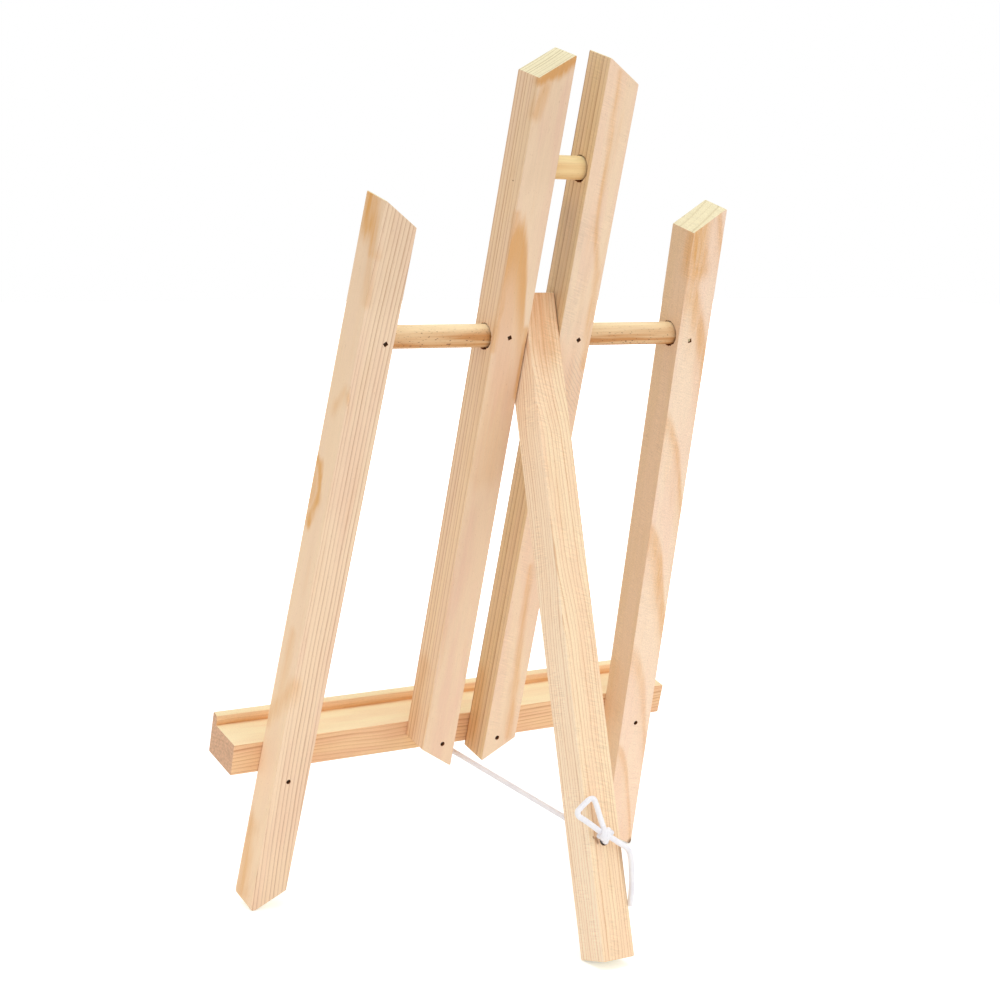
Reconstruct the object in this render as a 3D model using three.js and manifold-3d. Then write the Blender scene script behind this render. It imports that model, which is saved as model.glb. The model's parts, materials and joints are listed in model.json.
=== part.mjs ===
// A tabletop display easel in plain pine. Millimetres, +Z up.
// The picture side faces -Y and the rear leg stands at +Y; left and right are seen from the picture side.
// The front frame is laid out upright, pivot axis at height 0 and front faces on y = 0, then tilted back.

import * as THREE from "three";
import { mergeVertices } from "three/addons/utils/BufferGeometryUtils.js";
import Module from "manifold-3d";

const wasm = await Module();
wasm.setup();

const degrees = THREE.MathUtils.degToRad;

// Clearances
const seatGap = 0.3;               // round every glued or nailed piece
const runningGap = 0.35;           // rear leg's bore round the hinge dowel
const swingGap = 0.5;              // rear leg to the mast on each side
const boreOverrun = 2;             // how far a bore is run out of an open end

// Pine stock, the same for all five bars
const stockWidth = 20;
const stockDepth = 19;
const easedEdge = 0.5;             // chamfer along the edges
const endRound = 0.7;              // corners of the sawn ends
const easeSteps = 2;
const cornerSteps = 4;
const mitre = degrees(32);         // slope of the sawn ends

// Stance
const frameTilt = degrees(15);     // front frame, back from upright
const legOpening = degrees(30);    // between the front frame and the rear leg
const pivotHeight = 310;           // hinge dowel's axis above the table

// Masts
const mastRise = 146;              // inner tip above the pivot
const mastDrop = 246;              // inner tip below the pivot
const topDowelRise = 88;

// Side legs
const sideLegSpan = 97.5;          // centre line from the middle, at the pivot
const sideLegRise = 71.2;          // outer tip above the pivot
const leftSplay = degrees(4.05);
const rightSplay = degrees(2.65);
const toeRound = 3;

// Dowels
const dowelDiameter = 12;
const dowelChamfer = 0.6;
const sideSocketDepth = 12;        // hinge dowel into each side leg
const mastSocketDepth = 14;        // top dowel into each mast
const dowelSides = 40;

// Ledge, a rabbeted rail with a lip in front
const ledgeLength = 280;
const ledgeOffset = -5.5;
const ledgeTilt = degrees(0.58);   // nailed on a little out of level, its +X end lower
const seatDrop = 225.3;            // seat below the pivot, at the ledge's middle
const railHeight = 18;             // seat to underside
const railDepth = 27.5;
const lipHeight = 5.8;
const lipThickness = 4.8;
const ledgeRound = 0.7;

// Rear leg
const headRise = 20;               // square end above the pivot
const headRelief = 0.5;            // bevelled head behind the masts' front faces

// Fasteners
const bradWidth = 1.6;
const bradLength = 11;
const bradSet = 0.5;               // heads below the surface
const nailDiameter = 2;
const nailLength = 30;
const nailSet = 0.8;
const nailSides = 12;
const nailHoleSides = 16;

// Where the brads and nails were driven, right and up of the crossing that each one holds
const bradPlaces = {
  side_left: [2, -1.5], mast_left: [-2.4, 0], mast_right: [0.5, 1.8], side_right: [-5.2, -0.5],
};
const nailPlaces = {
  side_left: [0, -1.9], mast_left: [2.2, 2.1], mast_right: [-2.2, 3.4], side_right: [1.9, -5.7],
};

// Stay cord, limp braided cotton that keeps the rear leg from opening further
const cordDiameter = 3;
const cordSides = 8;
const cordStep = 3.3;              // length of cord between two sections of its tube
const ledgeCordHole = 3.8;
const legCordHole = 5;
const cordHoleSides = 24;

// Its route in the plane of the rear leg, as behind and above the pivot: glued into the ledge's
// underside, round a bend and taut to the rear leg, through the leg's hole and into the knot
const stayInLedge = [[-81.04, -222.72], [-80, -226.59], [-78.97, -230.45]];
const stayInTheOpen = [
  [-78.1, -232.42], [-76.67, -234.03], [-74.82, -235.13], [-72.77, -235.62], [-63.17, -236.43],
  [-48.17, -237.69], [-33.17, -238.95], [-18.17, -240.21], [-3.17, -241.47], [11.83, -242.73],
  [26.83, -243.99],
];
const stayThroughLeg = [[41.83, -245.25], [56.83, -246.52], [66.83, -247.36], [76.73, -248.19]];
const stayInKnot = [[77.93, -247.89]];

// The knot behind the rear leg, its bow loop and the cut tail, as across, behind and above the pivot
const knotCentre = [1.8, 14.5, -256.2];
const knotSize = [4.5, 4, 4.1];
const knotSides = 18;
const knotRings = 12;
const loopRoute = [
  [6.1, 14.2, -253.1], [9.5, 14, -250.2], [13.6, 13.8, -246.9], [16.4, 13.6, -244.6],
  [16.6, 13.4, -242.6], [14.6, 13.2, -241], [11.2, 13, -239], [8, 12.9, -237.4],
  [5.9, 12.9, -237.6], [5, 13, -239.6], [4.4, 13.3, -243], [3.7, 13.6, -247.2], [2.9, 13.9, -251.4],
];
const tailRoute = [
  [-2.4, 14.6, -258.9], [-5, 14.7, -260.9], [-8.2, 14.4, -263], [-10.9, 13.9, -265.6],
  [-12.4, 12.9, -269.8], [-13, 11.4, -275.6], [-13.4, 9.9, -281.4], [-13.3, 8.4, -287.2],
  [-12.3, 6.9, -293.6],
];

const weldDistance = 1e-4;         // between vertices that are one
const pine = (color, name) => new THREE.MeshStandardMaterial({ color, name, roughness: 0.62, metalness: 0 });
const mastPine = pine(0xf0cfa4, "pine");
const sidePine = pine(0xeec79c, "pine");
const legPine = pine(0xf2d0a0, "pine");
const ledgePine = pine(0xeec49a, "pine");
const dowelPine = pine(0xe6bc86, "dowel");
const steel = new THREE.MeshStandardMaterial({ color: 0x2e231c, roughness: 0.45, metalness: 0.7 });
const cotton = new THREE.MeshStandardMaterial({ color: 0xf4f1f5, roughness: 0.85, metalness: 0 });

// A closed outline whose corners carry their own radius
function roundedOutline(corners) {
  const outline = new THREE.Shape();
  corners.forEach(([x, y, radius], i) => {
    const corner = new THREE.Vector2(x, y);
    const before = new THREE.Vector2(...corners.at(i - 1)).sub(corner).normalize();
    const after = new THREE.Vector2(...corners[(i + 1) % corners.length]).sub(corner).normalize();
    const halfAngle = Math.acos(before.dot(after)) / 2;
    const entry = corner.clone().addScaledVector(before, radius / Math.tan(halfAngle));
    if (i === 0) outline.moveTo(entry.x, entry.y);
    else outline.lineTo(entry.x, entry.y);
    if (radius === 0) return;
    const leave = corner.clone().addScaledVector(after, radius / Math.tan(halfAngle));
    const towards = before.clone().add(after).normalize();
    const centre = corner.clone().addScaledVector(towards, radius / Math.sin(halfAngle));
    const start = entry.sub(centre).angle();
    const end = leave.sub(centre).angle();
    outline.absarc(centre.x, centre.y, radius, start, end, before.cross(after) > 0);
  });
  outline.closePath();
  return outline;
}

// The outline sawn from a board of the given thickness, its two faces eased
function sawnBoard(outline, thickness, ease = easedEdge) {
  const board = new THREE.ExtrudeGeometry(outline, {
    depth: thickness - 2 * ease,
    bevelEnabled: true,
    bevelThickness: ease,
    bevelSize: ease,
    bevelOffset: -ease,
    bevelSegments: easeSteps,
    curveSegments: cornerSteps,
  });
  return board.translate(0, 0, ease);
}

// From drawing plane to upright: across stays x, up the drawing becomes z, thickness runs back along y
function stoodUp(board, thickness) {
  return board.rotateX(Math.PI / 2).translate(0, thickness, 0);
}

function rod(diameter, length, direction, centre, sides = dowelSides) {
  const turn = new THREE.Quaternion().setFromUnitVectors(new THREE.Vector3(0, 1, 0), direction);
  return new THREE.CylinderGeometry(diameter / 2, diameter / 2, length, sides)
    .applyQuaternion(turn)
    .translate(centre.x, centre.y, centre.z);
}

function toSolid(geometry) {
  const bare = geometry.clone();
  bare.deleteAttribute("normal");
  bare.deleteAttribute("uv");
  const merged = mergeVertices(bare, weldDistance);
  return new wasm.Manifold(new wasm.Mesh({
    numProp: 3,
    vertProperties: merged.attributes.position.array,
    triVerts: new Uint32Array(merged.index.array),
  }));
}

function toGeometry(solid) {
  const { vertProperties, triVerts } = solid.getMesh();
  const geometry = new THREE.BufferGeometry();
  geometry.setAttribute("position", new THREE.BufferAttribute(vertProperties, 3));
  geometry.setIndex(new THREE.BufferAttribute(triVerts, 1));
  geometry.computeVertexNormals();
  return geometry;
}

// Cuts a mesh with tools that are drawn in the coordinates of another part of the scene
function carve(mesh, host, tools) {
  easel.updateMatrixWorld(true);
  const intoMesh = mesh.matrixWorld.clone().invert().multiply(host.matrixWorld);
  const cutters = tools.map((tool) => toSolid(tool.clone().applyMatrix4(intoMesh)));
  const carved = cutters.reduce((solid, cutter) => solid.subtract(cutter), toSolid(mesh.geometry));
  mesh.geometry = toGeometry(carved);
}

function addPiece(parent, name, geometry, material) {
  const mesh = new THREE.Mesh(geometry, material);
  mesh.name = name;
  parent.add(mesh);
  return mesh;
}

const acrossAxis = new THREE.Vector3(1, 0, 0);
const depthAxis = new THREE.Vector3(0, 1, 0);
const mitreRise = stockWidth * Math.tan(mitre);
const middleOfStock = stockDepth / 2;
const mastGap = stockDepth + 2 * swingGap;
const mastCentre = (mastGap + stockWidth) / 2;

const easel = new THREE.Group();
const frame = new THREE.Group();
const rearLegSwing = new THREE.Group();
easel.add(frame, rearLegSwing);
rearLegSwing.position.z = pivotHeight;
rearLegSwing.rotation.x = legOpening - frameTilt;
frame.position.z = pivotHeight;
frame.rotation.x = -frameTilt;
const pivotInFrame = new THREE.Vector3(0, middleOfStock, 0);
frame.position.sub(pivotInFrame.clone().applyEuler(frame.rotation));

// How far down the tilted frame the table lies, along a line at the given depth behind the front faces
const tableDrop = (depth) => (frame.position.z - depth * Math.sin(frameTilt)) / Math.cos(frameTilt);

function makeMast(name, side) {
  const inner = -side * stockWidth / 2;
  const outline = roundedOutline([
    [inner, -mastDrop, endRound],
    [-inner, -mastDrop + mitreRise, endRound],
    [-inner, mastRise - mitreRise, endRound],
    [inner, mastRise, endRound],
  ]);
  const mast = addPiece(frame, name, stoodUp(sawnBoard(outline, stockDepth), stockDepth), mastPine);
  mast.position.x = side * mastCentre;
  return mast;
}

// The leg's length follows from its rounded toe just meeting the table
function makeSideLeg(name, side, splay) {
  const toeCentreDrop = tableDrop(stockDepth) - toeRound;
  const toeAcross = stockWidth / 2 - toeRound;
  const toeCentreAlong = (toeCentreDrop + toeAcross * Math.sin(splay)) / Math.cos(splay);
  const toeReach = toeRound * (Math.tan(mitre) + 1 / Math.cos(mitre));
  const legDrop = toeCentreAlong + toeReach;
  const outer = side * stockWidth / 2;
  const outline = roundedOutline([
    [outer, -legDrop, toeRound],
    [outer, sideLegRise, endRound],
    [-outer, sideLegRise - mitreRise, endRound],
    [-outer, -legDrop + mitreRise, endRound],
  ]);
  const leg = addPiece(frame, name, stoodUp(sawnBoard(outline, stockDepth), stockDepth), sidePine);
  leg.position.x = side * sideLegSpan;
  leg.rotation.y = -side * splay;
  return leg;
}

function makeLedge() {
  const front = -railDepth;
  const lipBack = front + lipThickness;
  const outline = roundedOutline([
    [0, 0, ledgeRound],
    [lipBack, 0, 0],
    [lipBack, lipHeight, ledgeRound],
    [front, lipHeight, ledgeRound],
    [front, -railHeight, ledgeRound],
    [0, -railHeight, ledgeRound],
  ]);
  const rail = sawnBoard(outline, ledgeLength).translate(0, 0, -ledgeLength / 2);
  const depthUpAcross = new THREE.Matrix4().makeBasis(depthAxis, new THREE.Vector3(0, 0, 1), acrossAxis);
  const ledge = addPiece(frame, "canvas_ledge", rail.applyMatrix4(depthUpAcross), ledgePine);
  ledge.position.set(ledgeOffset, -seatGap, -seatDrop);
  ledge.rotation.y = ledgeTilt;
  return ledge;
}

function makeDowel(name, from, to, rise) {
  const radius = dowelDiameter / 2;
  const half = (to - from) / 2;
  const profile = [
    [0, -half], [radius - dowelChamfer, -half], [radius, -half + dowelChamfer],
    [radius, half - dowelChamfer], [radius - dowelChamfer, half], [0, half],
  ].map(([x, y]) => new THREE.Vector2(x, y));
  const turned = new THREE.LatheGeometry(profile, dowelSides).rotateZ(-Math.PI / 2);
  const dowel = addPiece(frame, name, turned, dowelPine);
  dowel.position.set((from + to) / 2, middleOfStock, rise);
  return dowel;
}

function makeRearLeg() {
  const tilt = rearLegSwing.rotation.x;
  const frontFootDrop = pivotHeight / Math.cos(tilt) - stockWidth / 2 * Math.tan(tilt);
  const half = stockDepth / 2;
  const outline = roundedOutline([
    [-half, -frontFootDrop, endRound],
    [half, -frontFootDrop, endRound],
    [half, headRise, endRound],
    [-half, headRise, endRound],
  ]);
  const board = stoodUp(sawnBoard(outline, stockWidth), stockWidth).translate(0, -stockWidth / 2, 0);
  return addPiece(rearLegSwing, "rear_leg", board, legPine);
}

const mastLeft = makeMast("mast_left", -1);
const mastRight = makeMast("mast_right", 1);
const sideLegLeft = makeSideLeg("side_leg_left", -1, leftSplay);
const sideLegRight = makeSideLeg("side_leg_right", 1, rightSplay);
const ledge = makeLedge();
const rearLeg = makeRearLeg();

// Where a side leg's inner face and centre line lie, at a height given from the pivot
const sideInnerFace = (splay) => sideLegSpan - stockWidth / 2 / Math.cos(splay);
const sideCentreAt = (splay, height) => sideLegSpan - height * Math.tan(splay);

const hingeFrom = -sideInnerFace(leftSplay) - sideSocketDepth;
const hingeTo = sideInnerFace(rightSplay) + sideSocketDepth;
const hingeDowel = makeDowel("hinge_dowel", hingeFrom, hingeTo, 0);
const topHalf = mastGap / 2 + mastSocketDepth;
makeDowel("top_dowel", -topHalf, topHalf, topDowelRise);

function boreForDowel(from, to, rise, gap) {
  const centre = new THREE.Vector3((from + to) / 2, middleOfStock, rise);
  return rod(dowelDiameter + 2 * gap, to - from + 2 * seatGap, acrossAxis, centre);
}

const hingeBore = boreForDowel(hingeFrom, hingeTo, 0, seatGap);
const topBore = boreForDowel(-topHalf, topHalf, topDowelRise, seatGap);
const runningBore = boreForDowel(hingeFrom, hingeTo, 0, runningGap);
carve(mastLeft, frame, [hingeBore, topBore]);
carve(mastRight, frame, [hingeBore, topBore]);
carve(sideLegLeft, frame, [hingeBore]);
carve(sideLegRight, frame, [hingeBore]);

// The leg's head is bevelled so that nothing stands proud of the masts while the easel is open
const cutterSize = headRise + stockWidth;
const headBevel = new THREE.BoxGeometry(cutterSize, cutterSize, cutterSize);
headBevel.translate(0, headRelief - cutterSize / 2, cutterSize / 2);
carve(rearLeg, frame, [runningBore, headBevel]);

const bars = [
  { label: "side_left", bar: sideLegLeft, splay: leftSplay, side: -1, isMast: false },
  { label: "mast_left", bar: mastLeft, side: -1, isMast: true },
  { label: "mast_right", bar: mastRight, side: 1, isMast: true },
  { label: "side_right", bar: sideLegRight, splay: rightSplay, side: 1, isMast: false },
];

// A brad through the back of each bar holds the hinge dowel
for (const { label, bar, side, isMast } of bars) {
  const [right, up] = bradPlaces[label];
  const across = side * (isMast ? mastCentre : sideLegSpan) + right;
  const head = stockDepth - bradSet;
  const brad = new THREE.BoxGeometry(bradWidth, bradLength, bradWidth);
  brad.translate(across, head - bradLength / 2, up);
  addPiece(frame, `dowel_brad_${label}`, brad, steel);
  const slotWidth = bradWidth + 2 * seatGap;
  const slotDepth = bradLength + bradSet + 2 * seatGap;
  const slot = new THREE.BoxGeometry(slotWidth, slotDepth, slotWidth);
  slot.translate(across, stockDepth + seatGap - slotDepth / 2, up);
  carve(bar, frame, [slot]);
  carve(hingeDowel, frame, [slot]);
}

// A nail through each bar holds the ledge
const railMiddleAt = (across) => -seatDrop - railHeight / 2 - (across - ledgeOffset) * Math.tan(ledgeTilt);
for (const { label, bar, side, splay, isMast } of bars) {
  const [right, up] = nailPlaces[label];
  const crossing = side * (isMast ? mastCentre : sideCentreAt(splay, railMiddleAt(0)));
  const depth = stockDepth - nailSet - nailLength / 2;
  const centre = new THREE.Vector3(crossing + right, depth, railMiddleAt(crossing) + up);
  addPiece(frame, `ledge_nail_${label}`, rod(nailDiameter, nailLength, depthAxis, centre, nailSides), steel);
  const holeLength = nailLength + 2 * nailSet + 2 * seatGap;
  const hole = rod(nailDiameter + 2 * seatGap, holeLength, depthAxis, centre, nailHoleSides);
  carve(bar, frame, [hole]);
  carve(ledge, frame, [hole]);
}

// The origin is the middle of the easel's own box, on the table
const box = new THREE.Box3().setFromObject(easel, true);
const middle = box.getCenter(new THREE.Vector3());
for (const group of [frame, rearLegSwing]) {
  group.position.sub(new THREE.Vector3(middle.x, middle.y, box.min.z));
}

function addCord(parent, name, points) {
  const radius = cordDiameter / 2;
  const section = new THREE.Shape();
  for (let i = 0; i < cordSides; i++) {
    const turn = 2 * Math.PI * i / cordSides;
    if (i === 0) section.moveTo(radius, 0);
    else section.lineTo(radius * Math.cos(turn), radius * Math.sin(turn));
  }
  section.closePath();
  const extrudePath = new THREE.CatmullRomCurve3(points, false, "centripetal");
  const steps = Math.ceil(extrudePath.getLength() / cordStep);
  return addPiece(parent, name, new THREE.ExtrudeGeometry(section, { steps, extrudePath }), cotton);
}

// A bore round a straight run of the cord, taken past its two ends
function boreAlong(from, to, pastFrom, pastTo, diameter) {
  const direction = to.clone().sub(from).normalize();
  const start = from.clone().addScaledVector(direction, -pastFrom);
  const end = to.clone().addScaledVector(direction, pastTo);
  const centre = start.clone().add(end).divideScalar(2);
  return rod(diameter, start.distanceTo(end), direction, centre, cordHoleSides);
}

const onStayPlane = ([behind, above]) => new THREE.Vector3(0, behind, above).add(rearLegSwing.position);
const stayRoute = [...stayInLedge, ...stayInTheOpen, ...stayThroughLeg, ...stayInKnot];
addCord(easel, "stay_cord", stayRoute.map(onStayPlane));
const glueEnd = onStayPlane(stayInLedge[0]);
const ledgeMouth = onStayPlane(stayInLedge.at(-1));
carve(ledge, easel, [boreAlong(glueEnd, ledgeMouth, seatGap, boreOverrun, ledgeCordHole)]);
const legEntry = onStayPlane(stayThroughLeg[0]);
const legExit = onStayPlane(stayThroughLeg.at(-1));
carve(rearLeg, easel, [boreAlong(legEntry, legExit, boreOverrun, boreOverrun, legCordHole)]);

const knot = addPiece(rearLegSwing, "stay_knot", new THREE.SphereGeometry(1, knotSides, knotRings), cotton);
knot.position.set(...knotCentre);
knot.scale.set(...knotSize);
addCord(rearLegSwing, "stay_loop", loopRoute.map((point) => new THREE.Vector3(...point)));
addCord(rearLegSwing, "stay_tail", tailRoute.map((point) => new THREE.Vector3(...point)));

export default easel;
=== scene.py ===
import json
import random
from math import ceil, cos, pi, radians, sin, tan

import bmesh
import bpy
from mathutils import Matrix, Vector


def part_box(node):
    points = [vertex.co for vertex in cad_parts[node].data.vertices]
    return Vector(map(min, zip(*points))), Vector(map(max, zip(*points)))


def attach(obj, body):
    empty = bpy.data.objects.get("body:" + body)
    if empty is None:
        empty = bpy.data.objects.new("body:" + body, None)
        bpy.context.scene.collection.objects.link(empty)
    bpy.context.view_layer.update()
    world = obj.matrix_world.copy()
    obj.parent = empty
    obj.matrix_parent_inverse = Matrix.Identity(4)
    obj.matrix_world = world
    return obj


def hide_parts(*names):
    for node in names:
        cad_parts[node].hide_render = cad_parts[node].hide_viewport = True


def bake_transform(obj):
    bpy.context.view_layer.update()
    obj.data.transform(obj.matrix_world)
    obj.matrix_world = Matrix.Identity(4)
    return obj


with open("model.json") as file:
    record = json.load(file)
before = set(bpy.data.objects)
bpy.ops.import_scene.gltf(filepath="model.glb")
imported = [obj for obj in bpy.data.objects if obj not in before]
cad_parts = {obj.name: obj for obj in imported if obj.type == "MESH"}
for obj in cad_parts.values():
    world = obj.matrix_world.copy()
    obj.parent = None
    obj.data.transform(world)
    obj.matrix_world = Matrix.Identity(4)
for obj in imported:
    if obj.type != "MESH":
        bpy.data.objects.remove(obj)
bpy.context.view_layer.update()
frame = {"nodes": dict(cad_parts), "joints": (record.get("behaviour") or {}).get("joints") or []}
mm = 0.001
pivot = Vector(frame["joints"][0]["pos_m"])
frameTilt = radians(15)  # the front frame leans back by this, and the rear leg the other way
print("frame loaded")

# camera
cameraSettings = {
    "place": (0.60676, 0.89438, 0.37598),
    "turn": (81.93, -1.43, 146.97),  # degrees
    "lens": 75.18,
    "sensor": 36,
}


def setCamera(settings):
    camera = bpy.data.objects.new("camera", bpy.data.cameras.new("camera"))
    bpy.context.scene.collection.objects.link(camera)
    camera.location = settings["place"]
    camera.rotation_euler = [radians(angle) for angle in settings["turn"]]
    camera.data.lens = settings["lens"]
    camera.data.sensor_width = settings["sensor"]
    bpy.context.scene.camera = camera


setCamera(cameraSettings)
print("camera set")


# a shader socket that takes Python's own operators
class Wire:
    firstColour, secondColour, colourOut = 6, 7, 2  # a Mix node's sockets for colours

    def __init__(self, tree, socket=None):
        self.tree = tree
        self.socket = socket

    def node(self, kind, settings, inputs, out=0):  # settings first, then values or links
        made = self.tree.nodes.new(kind)
        for key, value in settings.items():
            if key == "stops":
                setStops(made.color_ramp.elements, value)
            else:
                setattr(made, key, value)
        for key, value in inputs.items():
            if isinstance(value, Wire):
                self.tree.links.new(value.socket, made.inputs[key])
            else:
                made.inputs[key].default_value = value
        return Wire(self.tree, made.outputs[out])

    def maths(self, operation, *values):
        return self.node("ShaderNodeMath", {"operation": operation}, dict(enumerate(values)))

    def __add__(self, other):
        return self.maths("ADD", self, other)

    def __sub__(self, other):
        return self.maths("SUBTRACT", self, other)

    def __rsub__(self, other):
        return self.maths("SUBTRACT", other, self)

    def __mul__(self, other):
        return self.maths("MULTIPLY", self, other)

    def __truediv__(self, other):
        return self.maths("DIVIDE", self, other)

    def __abs__(self):
        return self.maths("ABSOLUTE", self)

    __radd__ = __add__
    __rmul__ = __mul__

    def larger(self, other):
        return self.maths("MAXIMUM", self, other)

    def vector(self, operation, other, out=0):
        return self.node("ShaderNodeVectorMath", {"operation": operation}, {0: self, 1: other}, out)

    def length(self):
        return self.vector("LENGTH", (0, 0, 0), "Value")

    def dot(self, other):
        return self.vector("DOT_PRODUCT", other, "Value")

    def scaled(self, amount):
        return self.node("ShaderNodeVectorMath", {"operation": "SCALE"}, {0: self, "Scale": amount})

    def part(self, axis):
        return self.node("ShaderNodeSeparateXYZ", {}, {0: self}, axis)

    def ramp(self, *stops):
        return self.node("ShaderNodeValToRGB", {"stops": stops}, {0: self})

    def between(self, low, high, kind="SMOOTHSTEP"):  # 0 below low, 1 above high
        limits = {0: self, 1: low, 2: high}
        return self.node("ShaderNodeMapRange", {"interpolation_type": kind}, limits)

    def blend(self, first, second):  # first where this is 0, second where it is 1
        sockets = {0: self, self.firstColour: first, self.secondColour: second}
        return self.node("ShaderNodeMix", {"data_type": "RGBA"}, sockets, self.colourOut)

    def cloud(self, across, along, seed, detail=2.0):  # noise with features of this size, drawn out along Z
        stretched = self.vector("MULTIPLY", (1 / across, 1 / across, 1 / along))
        settings = {"noise_dimensions": "4D"}
        inputs = {"Vector": stretched, "W": seed, "Scale": 1.0, "Detail": detail}
        return self.node("ShaderNodeTexNoise", settings, inputs)


def setStops(elements, stops):
    elements.remove(elements[1])
    elements[0].position, elements[0].color = stops[0][0], grey(stops[0][1])
    for place, shade in stops[1:]:
        elements.new(place).color = grey(shade)


def grey(shade):
    return (shade, shade, shade, 1)


def tint(code):  # a colour as it looks on screen, to the linear one that a shader takes
    shades = [int(code[i:i + 2], 16) / 255 for i in (0, 2, 4)]
    return (*[s / 12.92 if s < 0.04045 else ((s + 0.055) / 1.055) ** 2.4 for s in shades], 1)


def newMaterial(name):  # with its shader, and a wire that says where on the piece a point is
    material = bpy.data.materials.new(name)
    material.use_nodes = True
    where = Wire(material.node_tree).node("ShaderNodeTexCoord", {}, {}, "Object")
    return material, material.node_tree.nodes["Principled BSDF"], where


def finishWith(shader, colour, roughness, height, relief, specular=0.5):
    shader.inputs["Specular IOR Level"].default_value = specular
    bump = height.node("ShaderNodeBump", {}, {"Height": height, "Distance": relief})
    for name, value in (("Base Color", colour), ("Roughness", roughness), ("Normal", bump)):
        height.tree.links.new(value.socket, shader.inputs[name])


# what the modelling below is done with
slack = 0.1 * mm  # a corner this near a line counts as on it
level = 0.01 * mm  # an edge whose ends differ by less runs square to that axis


def clearSelection():
    bpy.ops.object.select_all(action="DESELECT")


def takeUp(piece):  # the only selected object, and the active one
    clearSelection()
    piece.select_set(True)
    bpy.context.view_layer.objects.active = piece


def editing(piece):
    takeUp(piece)
    bpy.ops.object.mode_set(mode="EDIT")
    bpy.ops.mesh.select_mode(type="EDGE")


def doneEditing():
    bpy.ops.object.mode_set(mode="OBJECT")


def pickEdges(piece, test):  # selects the edges whose two ends pass the test
    bpy.ops.mesh.select_all(action="DESELECT")
    shape = bmesh.from_edit_mesh(piece.data)
    for edge in shape.edges:
        edge.select_set(test(*[corner.co for corner in edge.verts]))
    bmesh.update_edit_mesh(piece.data)


def pickFaces(piece, test):  # selects the faces whose middle and normal pass the test
    bpy.ops.mesh.select_all(action="DESELECT")
    shape = bmesh.from_edit_mesh(piece.data)
    for face in shape.faces:
        face.select_set(test(face.calc_center_median(), face.normal))
    bmesh.update_edit_mesh(piece.data)


def block(name, low, high):  # a box between two corners
    clearSelection()
    middle = (Vector(low) + Vector(high)) / 2
    bpy.ops.mesh.primitive_cube_add(size=1, location=middle, scale=Vector(high) - Vector(low))
    piece = bpy.context.object
    piece.name = name
    bpy.ops.object.transform_apply(location=True, rotation=True, scale=True)
    return piece


def roundBar(name, radius, start, end, sides, endRadius=None):  # a cylinder or cone between two points
    clearSelection()
    run = Vector(end) - Vector(start)
    bpy.ops.mesh.primitive_cone_add(
        vertices=sides, radius1=radius, radius2=radius if endRadius is None else endRadius,
        depth=run.length, location=(Vector(start) + Vector(end)) / 2,
        rotation=run.to_track_quat("Z", "X").to_euler(),
    )
    piece = bpy.context.object
    piece.name = name
    bpy.ops.object.transform_apply(location=True, rotation=True, scale=True)
    return piece


def cutAway(piece, cutter):
    takeUp(piece)
    cut = piece.modifiers.new("cut", "BOOLEAN")
    cut.operation = "DIFFERENCE"
    cut.solver = "EXACT"
    cut.material_mode = "TRANSFER"
    cut.object = cutter
    bpy.ops.object.modifier_apply(modifier=cut.name)
    bpy.data.objects.remove(cutter)


def smoothOver(piece, angle=35):
    takeUp(piece)
    bpy.ops.object.shade_smooth_by_angle(angle=radians(angle))
    weights = piece.modifiers.new("weights", "WEIGHTED_NORMAL")
    weights.keep_sharp = True
    bpy.ops.object.modifier_apply(modifier=weights.name)


def finishPiece(piece, place, body, slot, *nodes):
    smoothOver(piece)
    piece.data.transform(place)
    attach(piece, body)
    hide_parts(*nodes)


# the stock, and the two standing frames that pieces are laid out in: across, back, up, from the pivot
stock = {
    "width": 20 * mm, "depth": 19 * mm, "mitre": radians(32),
    "ease": 0.5 * mm, "easeSteps": 3,  # of the long edges
    "endRound": 0.7 * mm, "roundSteps": 6,  # of the edges at the mitres
    "spare": 5 * mm,  # beyond each mitre, before it is sawn
    "short": 0.1 * mm,  # sawn this much short, to stay within the solid
}
easelPlace = (
    Matrix.Translation(pivot)
    @ Matrix.Rotation(-frameTilt, 4, "X")
    @ Matrix.Translation((0, -stock["depth"] / 2, 0))
)
legPlace = Matrix.Translation(pivot) @ Matrix.Rotation(frameTilt, 4, "X")

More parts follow.
